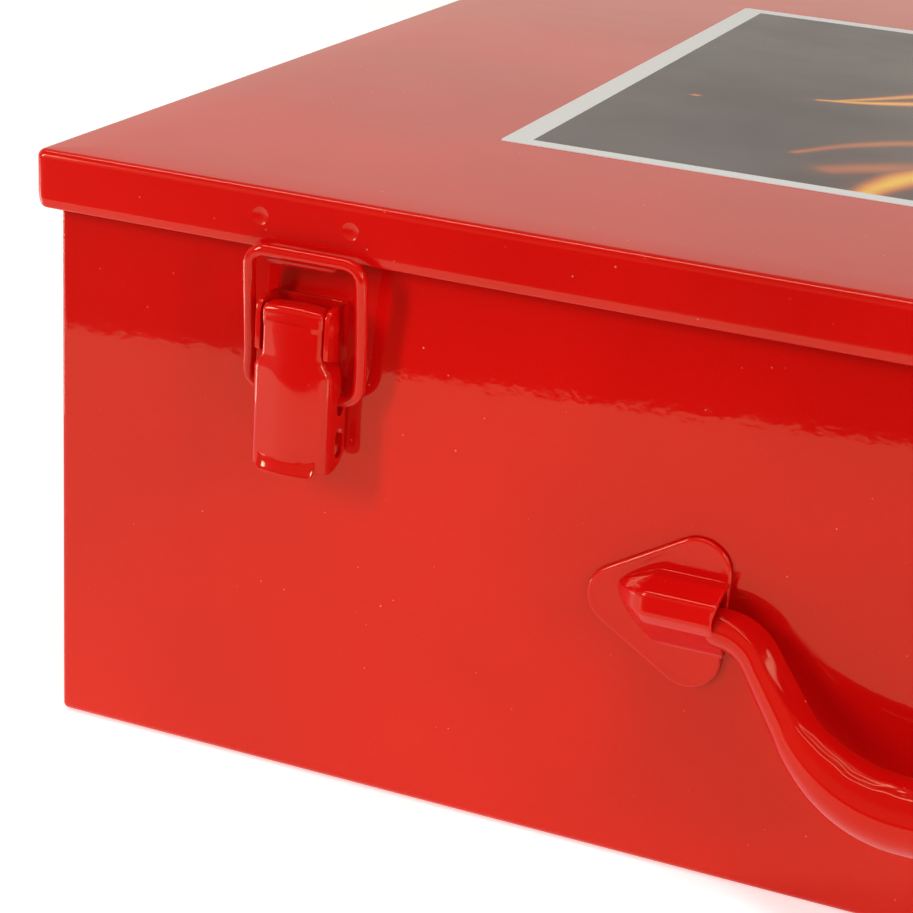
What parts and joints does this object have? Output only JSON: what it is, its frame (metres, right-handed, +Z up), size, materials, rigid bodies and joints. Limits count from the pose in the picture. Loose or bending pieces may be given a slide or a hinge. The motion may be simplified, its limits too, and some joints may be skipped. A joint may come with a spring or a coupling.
{
  "type": "steel carrying case",
  "caption": "Shallow sheet-steel carrying case with an overlapping flanged lid, draw latches with wire bails, a drop handle in pressed brackets and a flame label.",
  "frame": {"origin": "centre of the tray's flat underside", "axes": "+Z up, -Y out of the front wall with the latches and handle, +X to the right seen from the front"},
  "size_m": [0.509, 0.4371, 0.1502],
  "materials": {
    "red_paint": "gloss",
    "label_print": "satin",
    "zinc_steel": "satin"
  },
  "bodies": {
    "case": {"tray": "red_paint", "latch_base_left": "red_paint", "latch_pin_left": "red_paint", "latch_base_right": "red_paint", "latch_pin_right": "red_paint", "handle_bracket_left": "red_paint", "handle_bracket_right": "red_paint", "hinge_body_leaf_left": "red_paint", "hinge_pin_left": "zinc_steel", "hinge_body_leaf_right": "red_paint", "hinge_pin_right": "zinc_steel", "hinge_rivets_body": "zinc_steel"},
    "lid": {"lid": "red_paint", "label": "label_print", "latch_catch_left": "red_paint", "latch_catch_right": "red_paint", "hinge_lid_leaf_left": "red_paint", "hinge_lid_leaf_right": "red_paint", "hinge_rivets_lid": "zinc_steel"},
    "lever_left": {"latch_lever_left": "red_paint"},
    "bail_left": {"latch_bail_left": "red_paint"},
    "lever_right": {"latch_lever_right": "red_paint"},
    "bail_right": {"latch_bail_right": "red_paint"},
    "handle": {"carry_handle": "red_paint"}
  },
  "joints": [
    {"name": "lid_hinge", "type": "hinge", "parent": "case", "child": "lid", "pos_m": [0, 0.2032, 0.1325], "axis": [-1, 0, 0], "range_deg": [0, 105]},
    {"name": "lever_left_pivot", "type": "hinge", "parent": "case", "child": "lever_left", "pos_m": [-0.1831, -0.2079, 0.1215], "axis": [-1, 0, 0], "range_deg": [0, 150]},
    {"name": "bail_left_pivot", "type": "hinge", "parent": "lever_left", "child": "bail_left", "pos_m": [-0.1831, -0.2041, 0.1028], "axis": [-1, 0, 0], "range_deg": [-210, 0]},
    {"name": "lever_right_pivot", "type": "hinge", "parent": "case", "child": "lever_right", "pos_m": [0.1831, -0.2079, 0.1215], "axis": [-1, 0, 0], "range_deg": [0, 150]},
    {"name": "bail_right_pivot", "type": "hinge", "parent": "lever_right", "child": "bail_right", "pos_m": [0.1831, -0.2041, 0.1028], "axis": [-1, 0, 0], "range_deg": [-210, 0]},
    {"name": "handle_pivot", "type": "hinge", "parent": "case", "child": "handle", "pos_m": [0, -0.2055, 0.0695], "axis": [-1, 0, 0], "range_deg": [0, 90]}
  ],
  "couplings": [
    {"joint": "bail_left_pivot", "follows": "lever_left_pivot", "ratio": -1.4},
    {"joint": "bail_right_pivot", "follows": "lever_right_pivot", "ratio": -1.4}
  ]
}
